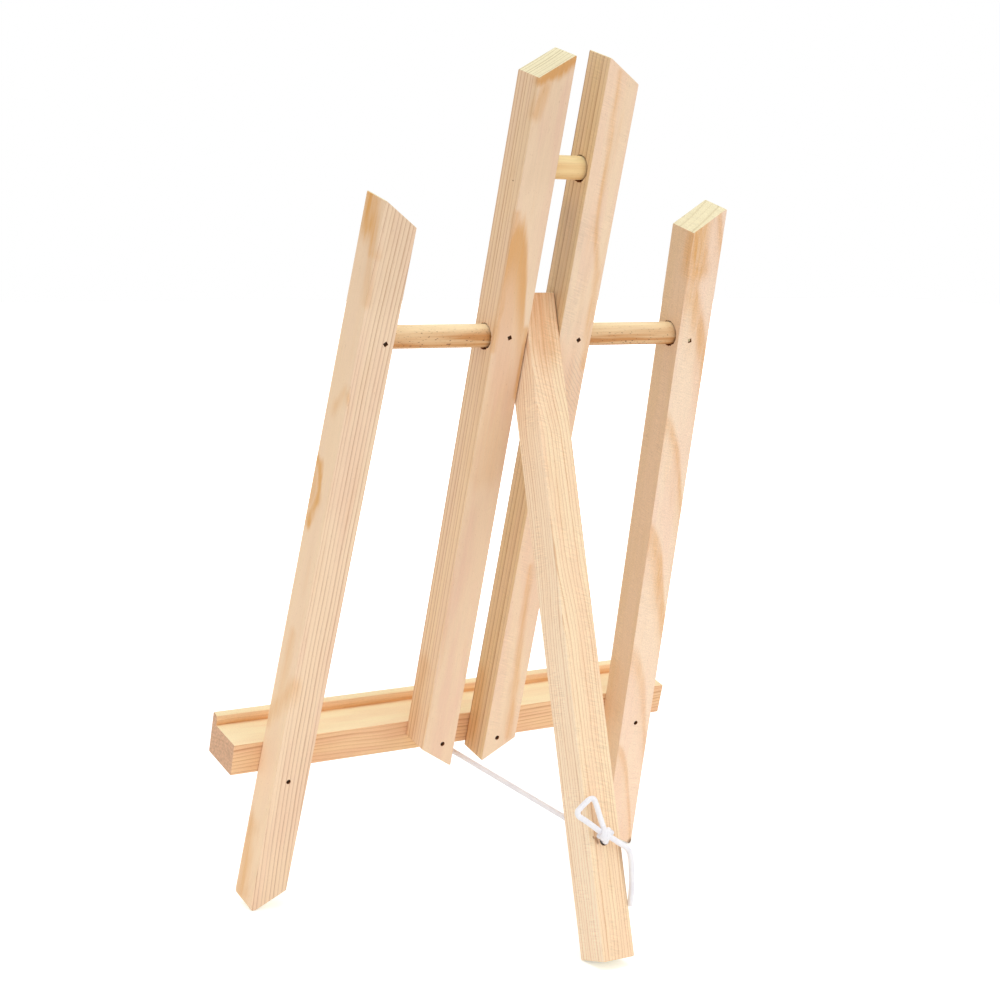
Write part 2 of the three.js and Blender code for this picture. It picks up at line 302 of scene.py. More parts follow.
# the stay cord, its knot, bow loop and tail
cordSettings = {
    "diameter": 3 * mm,
    "shade": "f3f1f6", "light": "fbfafc",
    "step": 0.35 * mm, "sides": 32,  # of the tube's mesh
    "braid": 8,  # lozenges round the cord
    "pitch": 2.6 * mm,  # of one lozenge along it
    "relief": 0.13 * mm,
    "stay": [  # behind and above the pivot, in the plane that the rear leg swings in
        (-0.08104, -0.22272), (-0.08, -0.22659), (-0.07897, -0.23045), (-0.0781, -0.23242),
        (-0.07667, -0.23403), (-0.07482, -0.23513), (-0.07277, -0.23562), (-0.06317, -0.23643),
        (-0.04817, -0.23769), (-0.03317, -0.23895), (-0.01817, -0.24021), (-0.00317, -0.24147),
        (0.01183, -0.24273), (0.02683, -0.24399), (0.04183, -0.24525), (0.05683, -0.24652),
        (0.06683, -0.24736), (0.07673, -0.24819), (0.07793, -0.24789),
    ],
    "inLedge": (0, 2), "inLeg": (14, 17),  # the points of the stay that each hole is drilled along
    "holeSides": 32,
    "bendFrom": 40,  # a step of the stay
    "bendTo": -60,  # and another, counted back from its end
    "loop": [  # across, behind and above the pivot, on the rear leg
        (0.0061, 0.0142, -0.2531), (0.0095, 0.014, -0.2502), (0.0136, 0.0138, -0.2469),
        (0.0164, 0.0136, -0.2446), (0.0166, 0.0134, -0.2426), (0.0146, 0.0132, -0.241),
        (0.0112, 0.013, -0.239), (0.008, 0.0129, -0.2374), (0.0059, 0.0129, -0.2376),
        (0.005, 0.013, -0.2396), (0.0044, 0.0133, -0.243), (0.0037, 0.0136, -0.2472),
        (0.0029, 0.0139, -0.2514),
    ],
    "tail": [
        (-0.0024, 0.0146, -0.2589), (-0.005, 0.0147, -0.2609), (-0.0082, 0.0144, -0.263),
        (-0.0109, 0.0139, -0.2656), (-0.0124, 0.0129, -0.2698), (-0.013, 0.0114, -0.2756),
        (-0.0134, 0.0099, -0.2814), (-0.0133, 0.0084, -0.2872), (-0.0123, 0.0069, -0.2936),
    ],
    "knot": (0.0022, 0.0143, -0.2558),
    "knotRadius": 2.35 * mm,  # of the turn's centre line round the knot
    "knotTurns": 2.4,
    "knotLength": 5.2 * mm,
    "knotSteps": 40,
    "knotWobble": 0.55 * mm,  # in and out, and along it, so that its turns cross
    "knotBeat": 1.7,  # wobbles in and out for each turn
    "knotPhase": 0.6,  # of the wobble along it
}


def smoothLine(points, step):  # a centripetal curve through the points, resampled evenly
    points = [Vector(p) for p in points]
    ends = [2 * points[0] - points[1], *points, 2 * points[-1] - points[-2]]
    dense = []
    for p0, p1, p2, p3 in zip(ends, ends[1:], ends[2:], ends[3:]):
        t1 = (p1 - p0).length ** 0.5
        t2 = t1 + (p2 - p1).length ** 0.5
        t3 = t2 + (p3 - p2).length ** 0.5
        count = max(2, ceil((p2 - p1).length / step * 2))
        for i in range(count):
            t = t1 + (t2 - t1) * i / count
            a1 = p0.lerp(p1, t / t1)
            a2 = p1.lerp(p2, (t - t1) / (t2 - t1))
            a3 = p2.lerp(p3, (t - t2) / (t3 - t2))
            b1 = a1.lerp(a2, t / t2)
            b2 = a2.lerp(a3, (t - t1) / (t3 - t1))
            dense.append(b1.lerp(b2, (t - t1) / (t2 - t1)))
    dense.append(points[-1])
    return evenly(dense, step)


def evenly(dense, step):
    along = [0.0]
    for a, b in zip(dense, dense[1:]):
        along.append(along[-1] + (b - a).length)
    count = ceil(along[-1] / step)
    line, i = [], 0
    for k in range(count + 1):
        wanted = along[-1] * k / count
        while i < len(along) - 2 and along[i + 1] < wanted:
            i += 1
        line.append(dense[i].lerp(dense[i + 1], (wanted - along[i]) / (along[i + 1] - along[i])))
    return line


def lengthOf(line):
    return sum((b - a).length for a, b in zip(line, line[1:]))


def layCord(name, line, settings):  # a braided tube along the line, closed at both ends
    sides, braid, last = settings["sides"], settings["braid"], len(line) - 1
    heading = (line[1] - line[0]).normalized()
    outward = heading.orthogonal().normalized()
    corners, faces, length = [line[0]], [], 0.0
    for i, point in enumerate(line):
        ahead = (line[min(i + 1, last)] - line[max(i - 1, 0)]).normalized()
        outward = (heading.rotation_difference(ahead) @ outward).normalized()
        heading = ahead
        sideways = heading.cross(outward)
        length += (point - line[i - 1]).length if i else 0
        for k in range(sides):
            turn = 2 * pi * k / sides
            lay = pi * length / settings["pitch"] * 2
            weave = abs(cos((braid * turn + lay) / 2) * cos((braid * turn - lay) / 2))
            reach = settings["diameter"] / 2 - settings["relief"] * (1 - weave)
            corners.append(point + reach * (cos(turn) * outward + sin(turn) * sideways))
    corners.append(line[-1])

    def corner(i, k):  # in the ring round point i
        return 1 + i * sides + k % sides

    for k in range(sides):
        faces.append((0, corner(0, k + 1), corner(0, k)))
        faces.append((len(corners) - 1, corner(last, k), corner(last, k + 1)))
        for i in range(last):
            faces.append((corner(i, k), corner(i, k + 1), corner(i + 1, k + 1), corner(i + 1, k)))
    shape = bpy.data.meshes.new(name)
    shape.from_pydata([tuple(c) for c in corners], [], faces)
    cord = bpy.data.objects.new(name, shape)
    bpy.context.scene.collection.objects.link(cord)
    shape.polygons.foreach_set("use_smooth", [True] * len(shape.polygons))
    return cord


def cottonFinish(settings):
    material, shader, where = newMaterial("braided cotton")
    thread = where.cloud(0.25 * mm, 0.25 * mm, 3.0, 3)
    soiled = where.cloud(6 * mm, 6 * mm, 5.0).between(0.3, 0.7)
    colour = soiled.blend(tint(settings["shade"]), tint(settings["light"]))
    shader.inputs["Sheen Weight"].default_value = 0.2
    finishWith(shader, colour, thread * 0.2 + 0.75, thread, 0.08 * mm, 0.2)
    return material


def knotTurn(settings):  # the cord wound round the root of the loop
    middle = Vector(settings["knot"])
    axis = (Vector(settings["tail"][0]) - Vector(settings["loop"][0])).normalized()
    side = axis.orthogonal().normalized()
    other = axis.cross(side)
    wobble = settings["knotWobble"]
    turns = []
    for i in range(settings["knotSteps"] + 1):
        share = i / settings["knotSteps"]
        turn = 2 * pi * settings["knotTurns"] * share
        radius = settings["knotRadius"] + wobble * sin(settings["knotBeat"] * turn)
        along = settings["knotLength"] * (share - 0.5) + 2 * wobble * sin(turn + settings["knotPhase"])
        turns.append(middle + radius * (cos(turn) * side + sin(turn) * other) + axis * along)
    return turns


def onStay(point):
    return pivot + Vector((0, *point))


def makeCords(settings):
    knot = legPlace @ Vector(settings["knot"])
    bow, end = [[legPlace @ Vector(point) for point in settings[part]] for part in ("loop", "tail")]
    routes = {  # each cord's node and points
        "cord_stay": ("stay_cord", [onStay(point) for point in settings["stay"]]),
        "cord_loop": ("stay_loop", [knot, *bow, knot]),
        "cord_tail": ("stay_tail", [knot, *end]),
        "cord_knot": ("stay_knot", [legPlace @ point for point in knotTurn(settings)]),
    }
    cotton = cottonFinish(settings)
    lines, pieces = {}, {}
    for name, (node, route) in routes.items():
        lines[name] = smoothLine(route, settings["step"])
        pieces[name] = layCord(name, lines[name], settings)
        pieces[name].data.materials.append(cotton)
        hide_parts(node)
        if name != "cord_stay":
            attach(pieces[name], "rear_leg")
    stay, tail = lines["cord_stay"], lines["cord_tail"]
    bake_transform(pieces["cord_stay"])
    lengthOf(stay)
    lengthOf(tail)


makeCords(cordSettings)
print("cords laid")


# pine, a solid figure of growth rings round a pith that lies outside the piece. Figures are in
# millimetres in the piece's own layout: across, back, and up the grain. Streaks, stains and painted
# shade, and calms are (from, to, width, strength)
pineDefaults = {
    "early": "f4d6b6", "side": "f4d6b6",  # soft wood on the rear face, and on the side faces, where two bars have a darker colour as painted shade
    "lateRear": "c9966e", "lateSide": "c08a62",  # the lines of late wood on them
    "endEarly": "fcf1ca", "endLate": "c0a066",
    "blush": "efc8ae", "pink": 0.6,
    "orange": "e2ab6c", "glow": 0.2,  # resin, and on the ledge the painted shade in the lip's crease
    "fleck": "a8744c", "flecks": 0.4,
    "stainAndShade": "a06a3e", "stainsAndShade": [],
    "onRear": 0.8, "onSides": 0.8, "onEnds": 0.8,  # how strongly the rings show
    "even": 0.5,  # how alike the years are
    "lean": (0, 0),  # of the pith, for each millimetre up
    "arches": [],  # height, reach, and how far the rings swell aside and behind
    "sway": (2, 40, 200), "ripple": (0.3, 6, 60),  # waves in the rings: how far, across and along
    "tongues": [], "streaks": [], "loops": [], "calm": [], "ticks": None,
    "paintedFloorLight": 0.18, "head": 110, "foot": -320,  # painted light: the wood is made paler by so much from one height down to the other, for the light the floor throws on the lower parts
    "fibres": 0.12, "speckle": 0.1, "pores": 0.3,  # how much they change the shade
    "sawn": 0.0, "sawSlant": radians(20),  # marks of the saw across the grain
    "rough": 0.0,  # a saw-torn end
    "specular": 0.25, "roughness": 0.55, "relief": 0.07 * mm,
}
pineClouds = {  # size across and along the grain, step of the seed, detail
    "come": (5, 70, 6, 2), "dashes": (0.5, 9, 11, 2),  # where lines come and go
    "fibre": (0.4, 22, 2, 3), "fine": (0.18, 3, 3, 2), "grit": (0.45, 0.7, 7, 2),
    "pores": (0.4, 0.4, 10, 3), "fleck": (0.3, 2.2, 4, 1),
    "blush": (8, 60, 5, 2), "glow": (6, 50, 8, 2),
    "comb": (7, 0.55, 12, 1), "patch": (9, 25, 13, 1),  # the saw's marks, and where they are
    "rough": (1.2, 1.2, 16, 2),
}
# how strong a line of late wood is from the start of a year to its end
throughYear = ((0, 0.3), (0.05, 0), (0.5, 0.04), (0.76, 0.35), (0.87, 1), (0.95, 0.9), (1, 0.3))
seedSteps = {"resinAndShade": 9, "stainAndShade": 14, "calm": 15}  # so that their noise is their own


def grainOf(wire, figure, name):
    across, along, step, detail = pineClouds[name]
    return wire.cloud(across, along, figure["seed"] + step, detail)


def tongueOf(inBar, tongue):  # a pointed tongue of resin colour, near the rear face
    down = (inBar.part(2) - tongue["tip"]) / -tongue["length"]
    out = (inBar.part(0) - tongue["middle"]) / tongue["width"]
    inside = down - out * out  # above 0 within a parabola
    faded = 1 - down.between(tongue["fade"], tongue["fade"] + 3)
    rim = 1 - inside.between(0.9, 2.4) * 0.55  # darkest along its edge
    frayed = (inBar.cloud(1.6, 30, 5.0, 2) - 0.5) * 0.5
    return (inside + frayed).between(-0.1, 0.6) * rim * faded * tongue["strength"]


def streakOf(inBar, seed, streak):  # a soft streak between two places
    begin, end, width, strength = streak
    run = Vector(end) - Vector(begin)
    offset = inBar.vector("SUBTRACT", Vector(begin))
    share = offset.dot(run / run.length_squared).between(0, 1, "LINEAR")
    nearest = share.node("ShaderNodeVectorMath", {"operation": "SCALE"}, {0: run, "Scale": share})
    away = offset.vector("SUBTRACT", nearest).length() / width
    near = 1 - (away + (inBar.cloud(5, 18, seed, 3) - 0.5) * 1.6).between(0, 1.5)
    strands = inBar.cloud(1.4, 26, seed + 0.3, 2).between(0.3, 0.65) * 0.4 + 0.6
    return near * strands * strength


def awayFrom(inBar, patch):  # 0 in the middle of a rounded patch, 1 at its edge
    return inBar.vector("SUBTRACT", patch["middle"]).vector("DIVIDE", patch["size"]).length()


def loopOf(inBar, seed, loop):  # a ring cut just under its crest: a loop, open below a height
    away = awayFrom(inBar, loop) + (inBar.cloud(7, 20, seed, 2) - 0.5) * 0.8
    outline = away.between(0.5, 1) * (1 - away.between(1, 1.3))
    outline = outline * inBar.part(2).between(loop["open"], loop["open"] + 12)
    worn = inBar.cloud(6, 14, seed + 0.5, 1).between(0.35, 0.6) * 0.6 + 0.4
    outline = outline * worn
    fill = (1 - away.between(0.5, 1)) * loop["fill"]
    return outline.larger(fill) * loop["strength"]


def ticksOf(inBar, ticks):  # a patch of slanting marks that the saw left
    slant = (inBar.part(0) * 0.8 - inBar.part(2) * 0.6) / ticks["pitch"] + inBar.cloud(3, 6, 1.0, 1)
    mark = slant.maths("FRACT", slant).ramp((0, 0), (0.6, 0), (0.8, 1), (1, 0))
    return mark * (1 - awayFrom(inBar, ticks).between(0.5, 1)) * ticks["strength"]


def ringsOf(inBar, figure):
    pithX, pithY = figure["pith"]
    leanX, leanY = figure["lean"]
    along = inBar.part(2)
    across, back = inBar.part(0) - along * leanX - pithX, inBar.part(1) - along * leanY - pithY
    for middle, reach, aside, behind in figure["arches"]:  # the rings swell out here by so much
        away = (along - middle) / reach
        swell = 1 - (away * away).between(0, 1)
        across, back = across - swell * aside, back - swell * behind
    wander = along.node("ShaderNodeCombineXYZ", {}, {0: across, 1: back}).length()
    for (much, wide, long), step, detail in ((figure["sway"], 0, 1), (figure["ripple"], 1, 2)):
        wander = wander + (inBar.cloud(wide, long, figure["seed"] + step, detail) - 0.5) * much
    rings = wander / figure["ring"] + figure["phase"]
    inputs = {"W": rings * 0.7 + figure["seed"], "Scale": 1.0}
    uneven = rings.node("ShaderNodeTexNoise", {"noise_dimensions": "1D"}, inputs)
    return rings + (uneven - 0.5) * 0.8  # some years are wide and some narrow


def linesOf(inBar, figure, onSide):  # the late wood that grew, and how much of it shows
    year = ringsOf(inBar, figure)
    late = year.maths("FRACT", year).ramp(*throughYear)
    count = {"W": year.maths("FLOOR", year)}
    vigour = year.node("ShaderNodeTexWhiteNoise", {"noise_dimensions": "1D"}, count)
    grown = late * (vigour * (1 - figure["even"]) + figure["even"])
    come = grainOf(inBar, figure, "come").between(0.2, 0.65) * 0.6 + 0.4
    dashes = grainOf(inBar, figure, "dashes").between(0.25, 0.6) * 0.35 + 0.65
    strength = onSide * (figure["onSides"] - figure["onRear"]) + figure["onRear"]
    lines = grown * come * dashes * strength
    for calm in figure["calm"]:
        lines = lines * (1 - streakOf(inBar, figure["seed"] + seedSteps["calm"], calm))
    return grown, lines


def resinAndShadeOf(inBar, figure, onSide):  # the strongest of the glow, the tongues, the streaks and the loops: resin, and on the ledge a painted shade
    seed = figure["seed"] + seedSteps["resinAndShade"]
    glow = grainOf(inBar, figure, "glow").between(0.55, 0.8) * figure["glow"]
    for tongue in figure["tongues"]:
        glow = glow.larger(tongueOf(inBar, tongue) * (1 - onSide) * inBar.part(1).between(9, 14))
    for streak in figure["streaks"]:
        glow = glow.larger(streakOf(inBar, seed, streak))
    for loop in figure["loops"]:
        glow = glow.larger(loopOf(inBar, seed, loop))
    return glow


def shadeOf(inBar, figure, sawn, fibre, fine, pores):  # how light the wood is, about 1, with painted light that makes it paler toward the foot
    grit = grainOf(inBar, figure, "grit")
    shade = (fibre - 0.5) * figure["fibres"] + (fine - 0.5) * figure["fibres"]
    shade = shade + (grit - 0.5) * figure["speckle"] + 1
    # painted light: paler toward the foot, standing in for the floor's light on the lower parts
    shade = shade + (inBar.part(2).between(figure["head"], figure["foot"], "LINEAR") - 0.5) * figure["paintedFloorLight"]
    if figure["sawn"]:
        slanted = {"Vector": inBar, "Rotation": (0, figure["sawSlant"], 0)}
        comb = grainOf(inBar.node("ShaderNodeMapping", {}, slanted), figure, "comb") - 0.5
        patch = grainOf(inBar, figure, "patch").between(0.45, 0.6)
        shade = shade + comb * patch * figure["sawn"]
    shade = shade + (pores - 0.5) * sawn * figure["pores"]
    if figure["rough"]:
        shade = shade + (grainOf(inBar, figure, "rough") - 0.5) * sawn * figure["rough"]
    return shade


def pineFinish(name, place, figure):
    figure = {**pineDefaults, **figure}
    material, shader, where = newMaterial(name)
    facing = where.node("ShaderNodeTexCoord", {}, {}, "Normal")
    toBar = {"Vector": where, "Location": place.to_translation(), "Rotation": place.to_euler(),
             "Scale": (mm, mm, mm)}
    inBar = where.node("ShaderNodeMapping", {"vector_type": "TEXTURE"}, toBar)
    axes = place.to_3x3().transposed()
    onSide, sawn = [abs(facing.dot(axes[i])).between(0.6, 0.8) for i in (0, 2)]  # side faces, sawn ends
    grown, lines = linesOf(inBar, figure, onSide)
    fibre, fine, pores = [grainOf(inBar, figure, kind) for kind in ("fibre", "fine", "pores")]
    fleck = grainOf(inBar, figure, "fleck").between(0.7, 0.76) * figure["flecks"]
    blush = grainOf(inBar, figure, "blush").between(0.38, 0.64) * (1 - onSide * 0.6) * figure["pink"]
    glow = resinAndShadeOf(inBar, figure, onSide) * (fibre * 0.5 + 0.75)
    wood = onSide.blend(tint(figure["early"]), tint(figure["side"]))
    wood = blush.blend(wood, tint(figure["blush"]))
    wood = glow.blend(wood, tint(figure["orange"]))
    wood = lines.blend(wood, onSide.blend(tint(figure["lateRear"]), tint(figure["lateSide"])))
    ends = (grown * grown * figure["onEnds"]).blend(tint(figure["endEarly"]), tint(figure["endLate"]))
    wood = sawn.blend(wood, ends)
    wood = fleck.blend(wood, tint(figure["fleck"]))
    if figure["ticks"]:
        wood = ticksOf(inBar, figure["ticks"]).blend(wood, tint(figure["stainAndShade"]))
    # stains, and patches of painted shade and shadow, all in the stain colour
    for stainAndShade in figure["stainsAndShade"]:
        stainedAndShaded = streakOf(inBar, figure["seed"] + seedSteps["stainAndShade"], stainAndShade)
        wood = stainedAndShaded.blend(wood, tint(figure["stainAndShade"]))
    shaded = wood.scaled(shadeOf(inBar, figure, sawn, fibre, fine, pores))
    roughness = fibre * 0.2 + figure["roughness"]
    height = fibre * 0.5 + fine * 0.4 + lines * 0.4 + pores * sawn
    finishWith(shader, shaded, roughness, height, figure["relief"], figure["specular"])
    return material


# the four bars of the front frame, and how any bar is drilled
barHoles = {
    "bore": 6.3 * mm, "boreSides": 48,  # a dowel's hole: its radius
    "socket": 12 * mm, "mastSocket": 14 * mm, "seat": 0.3 * mm,  # how deep, and the room past the dowel
    "mouth": 0.35 * mm, "mouthSides": 44, "mouthDepth": 2.2 * mm,  # wider by so much
    "mouthShift": (0.35 * mm, -0.25 * mm),  # back and up from the hole
    # the inside of a hole is torn end grain, painted darker for the shade in it
    "torn": 0.35 * mm, "tornAndShadedDark": "6a3517", "tornAndShadedPale": "b4713a",
    "brad": 2.2 * mm, "bradHead": 1.6 * mm, "bradDepth": 12 * mm,  # the slot's width and the brad's
    "nail": 1.3 * mm, "nailSides": 24,
    "overrun": 2 * mm,  # of a drill beyond the wood
    "pinhole": {"bar": "mast_right", "place": (10 * mm, 12 * mm, 81 * mm), "radius": 0.4 * mm,
                "depth": 3 * mm, "sides": 16},
}


def boredFinish(holes):  # torn end grain inside a drilled hole, its dark browns partly painted shade in the hole
    material, shader, where = newMaterial("bored pine")
    torn = where.cloud(0.5 * mm, 0.5 * mm, 2.0, 3)
    colour = torn.blend(tint(holes["tornAndShadedDark"]), tint(holes["tornAndShadedPale"]))
    finishWith(shader, colour, torn * 0.1 + 0.8, torn, 0.2 * mm)
    return material


bored = boredFinish(barHoles)


def labelOf(name):  # a side leg's fasteners are named without the leg
    return name.replace("leg_", "")


def inEasel(node):  # the middle of a CAD node, in the easel's own layout
    low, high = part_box(node)
    return easelPlace.inverted() @ ((low + high) / 2)


def toeDrop(splay, radius):  # how far down its length a side leg reaches, its round toe on the table
    toTable = (easelPlace @ Vector((0, stock["depth"], 0))).z / cos(frameTilt)
    centre = (toTable - radius + (stock["width"] / 2 - radius) * sin(splay)) / cos(splay)
    return centre + radius * (tan(stock["mitre"]) + 1 / cos(stock["mitre"]))


# rise and drop are from the pivot, and a side leg's drop is worked out from the table
mast = {"across": 20 * mm, "splay": 0.0, "rise": 146 * mm, "drop": 246 * mm, "isMast": True}
sideLeg = {"across": 97.5 * mm, "rise": 71.2 * mm, "isMast": False}
bars = {
    "mast_left": {
        **mast, "side": -1, "bradTurn": radians(40),
        "figure": {
            "seed": 11.0, "pith": (-9, -42), "ring": 3.0, "phase": 0.35, "sway": (0.9, 30, 160),
            # painted shade: the side faces are darker and yellower than the rear, for the shade in the narrow
            # gap between the masts
            "early": "f3d7b7", "side": "ecce9f", "blush": "f0cdb2", "lateRear": "d0a070",
            "lateSide": "a8704a", "onSides": 0.85, "onRear": 0.3, "speckle": 0.2, "sawn": 0.3, "paintedFloorLight": 0.1,
            "ticks": {"middle": (-4, 19, -26), "size": (9, 3, 24), "pitch": 1.9, "strength": 0.22},
            # painted shade: a greyish darker patch over the inner side face, from below the top dowel down to
            # the rear leg's head; the saw ticks take this colour too
            "stainAndShade": "7f6f76", "stainsAndShade": [((10, 9, 62), (10, 9, 8), 11, 0.26)],
            "streaks": [((2.5, 19, 139), (0, 19, 60), 1.8, 0.6), ((0, 19, 60), (-6, 19, 36), 2, 0.6),
                        ((-6, 19, 36), (-8.5, 19, -15), 2.4, 0.6),
                        ((1.3, 19, -128), (-3, 19, -198), 2.4, 0.6),
                        ((-3, 19, -198), (-5, 19, -232), 3, 0.6), ((10, 2, -200), (10, 6, -246), 8, 0.7)],
        },
    },
    "mast_right": {
        **mast, "side": 1, "bradTurn": radians(25),
        "figure": {
            "seed": 23.0, "pith": (4, -60), "ring": 2.7, "phase": 0.2, "sway": (0.5, 30, 200),
            "early": "f1d4b4", "side": "f3d3ac", "blush": "edc9ae", "orange": "dea76a", "lateSide": "b97c55",
            "endLate": "a08c50", "onSides": 0.9, "onRear": 0.07, "onEnds": 1.0, "pink": 0.8,
            "stainsAndShade": [((0, 19, 138), (0, 19, 90), 14, 0.1)],
            "tongues": [{"tip": 67.5, "middle": 5.8, "width": 7.6, "length": 20, "fade": 2, "strength": 0.9}],
            "streaks": [((-10, 19, 144), (9, 19, 132), 4, 1.4), ((5, 19, 132), (8, 19, 116), 4, 0.6),
                        ((9, 19, 66), (9, 19, -5), 2.5, 0.7), ((-8, 19, 6), (-10, 19, -30), 2.5, 1.0),
                        ((3, 19, 0), (0, 19, -70), 12, 0.25), ((10, 3, -190), (10, 4, -240), 9, 0.5)],
        },
    },
    "side_leg_left": {
        **sideLeg, "side": -1, "splay": radians(4.05), "toeRound": 1.5 * mm, "bradTurn": radians(15),
        "figure": {
            "seed": 37.0, "pith": (13, -55), "lean": (0, -0.07), "ring": 5.0, "phase": 0.77,
            # painted shade: the side faces are darker than the rear, for the shade on the face that looks
            # toward the masts
            "sway": (1.8, 25, 60), "early": "f9dfc3", "side": "e6c49e", "blush": "f5d2bb",
            "lateRear": "e0a55e", "lateSide": "caa078", "onSides": 0.12, "onRear": 0.78, "onEnds": 0.3,
            "pink": 0.5, "glow": 0.1, "speckle": 0.5, "sawn": 0.3,
            "streaks": [((8, 19, 68), (5, 19, 38), 8, 1.0), ((10, 4, -205), (10, 5, -260), 8, 0.3)],
            "stainAndShade": "6b5138", "stainsAndShade": [((-10, 19, -319), (-8, 15, -321), 3, 1.3)],
        },
    },
    "side_leg_right": {
        **sideLeg, "side": 1, "splay": radians(2.65), "toeRound": 3 * mm, "bradTurn": radians(38),
        "figure": {
            "seed": 41.0, "pith": (-62, 6), "arches": [(-110, 240, 6, 0)], "ring": 2.3, "phase": 0.0,
            "sway": (1.2, 20, 60), "early": "f5d9b9", "side": "f6d7b3", "blush": "f1cfb2",
            "orange": "e2a75f", "lateRear": "b38564", "lateSide": "cda274", "onSides": 0.1, "onRear": 0.95,
            "pink": 0.7, "glow": 0.1,
            "streaks": [((10, 4, 74), (10, 7, 56), 9, 1.0), ((10, 11, 68), (10, 15, 44), 4.2, 0.75),
                        ((10, 15, 44), (10, 18, 20), 3.4, 0.35), ((10, 19, -186), (10, 0, -212), 6, 0.45),
                        ((10, 9, -160), (10, 8, -205), 4, 0.35), ((10, 3, -275), (10, 6, -312), 8, 0.6)],
            "stainsAndShade": [((0, 19, 72), (0, 19, 30), 14, 0.1)],
            "loops": [{"middle": (10, 19, -44), "size": (2, 12, 18), "open": -46, "fill": 0.0,
                       "strength": 0.45},
                      {"middle": (10, -1, -84), "size": (2, 11, 17), "open": -120, "fill": 0.55,
                       "strength": 0.9}],
        },
    },
}


def roundCorner(bar, height, radius, angle):  # rounds the edges that run back to front at this height
    pickEdges(bar, lambda a, b: abs(a.y - b.y) > stock["depth"] / 2 and abs(a.z - height) < slack)
    bpy.ops.mesh.bevel(offset=radius / tan(angle / 2), segments=stock["roundSteps"], affect="EDGES")


def easeEdges(piece, size, test):
    pickEdges(piece, test)
    bpy.ops.mesh.bevel(offset=size, segments=stock["easeSteps"], affect="EDGES")


def sawBar(name, tip, toe, tipSide):  # tip and toe are (height, round) of the two points, on one side
    width, depth, spare = stock["width"], stock["depth"], stock["spare"]
    rise, sharp = width * tan(stock["mitre"]), pi / 2 - stock["mitre"]
    bar = block(name, (-width / 2, 0, toe[0] - spare), (width / 2, depth, tip[0] + spare))
    editing(bar)
    for height, way in ((tip[0], 1), (toe[0], -1)):
        bpy.ops.mesh.select_all(action="SELECT")
        bpy.ops.mesh.bisect(plane_co=(tipSide * width / 2, 0, height), use_fill=True, clear_outer=True,
                            plane_no=(-tipSide * tan(stock["mitre"]), 0, way))
    for (height, radius), way in ((tip, 1), (toe, -1)):
        roundCorner(bar, height, radius, sharp)
        roundCorner(bar, height - way * rise, stock["endRound"], pi - sharp)
    easeEdges(bar, stock["ease"], lambda a, b: abs(a.y - b.y) < level)
    doneEditing()
    return bar


def drill(piece, radius, start, end, sides=barHoles["boreSides"]):
    cutter = roundBar("drill", radius, start, end, sides)
    cutter.data.materials.append(bored)
    cutAway(piece, cutter)


def tearMouth(piece, mouth, outward, seed):  # a ragged, slightly wider mouth on a bore
    random.seed(seed)
    inner, outer = mouth - outward * barHoles["mouthDepth"], mouth + outward * barHoles["mouthDepth"]
    radius, flare = barHoles["bore"] + barHoles["torn"] / 2, barHoles["mouth"]
    cutter = roundBar("mouth", radius, inner, outer, barHoles["mouthSides"], radius + 2 * flare)
    for corner in cutter.data.vertices:
        away = corner.co - mouth
        away -= outward * away.dot(outward)
        corner.co += away.normalized() * random.uniform(-1, 1) * barHoles["torn"]
    cutter.data.materials.append(bored)
    cutAway(piece, cutter)


def bradBlock(name, label, turn, width, top):  # square in section, in the easel's own layout
    middle = inEasel(f"dowel_brad_{label}")
    bottom = stock["depth"] - barHoles["bradDepth"]
    piece = block(name, (-width / 2, bottom, -width / 2), (width / 2, top, width / 2))
    piece.data.transform(Matrix.Translation((middle.x, 0, middle.z)) @ Matrix.Rotation(turn, 4, "Y"))
    return piece


def drillBar(piece, bar, toBar, label):
    depth, side, run = stock["depth"], bar["side"], barHoles["overrun"]
    middle = depth / 2
    inner = side * (bar["across"] - stock["width"] / 2 / cos(bar["splay"]))
    outer = side * (bar["across"] + stock["width"] / 2)
    topRise = inEasel("top_dowel").z
    if bar["isMast"]:
        socket = barHoles["mastSocket"] + barHoles["seat"]
        bores = [(0, inner - side * run, outer + side * run, (inner, outer)),
                 (topRise, inner - side * run, inner + side * socket, (inner,))]
    else:
        socket = barHoles["socket"] + barHoles["seat"]
        bores = [(0, inner - side * run, inner + side * socket, (inner,))]
    for height, start, end, mouths in bores:
        drill(piece, barHoles["bore"], *[toBar @ Vector((across, middle, height)) for across in (start, end)])
        for across in mouths:
            outward = toBar.to_3x3() @ Vector((-side if across == inner else side, 0, 0))
            behind, below = barHoles["mouthShift"]
            mouth = toBar @ Vector((across, middle + behind, height + below))
            tearMouth(piece, mouth, outward, round(height * 1e4) + side)  # seeded by height and side
    slot = bradBlock("slot", label, bar["bradTurn"], barHoles["brad"], depth + run)
    slot.data.transform(toBar)
    slot.data.materials.append(bored)
    cutAway(piece, slot)
    nail = inEasel(f"ledge_nail_{label}")
    front, back = [toBar @ Vector((nail.x, place, nail.z)) for place in (-run, depth + run)]
    drill(piece, barHoles["nail"], front, back, barHoles["nailSides"])


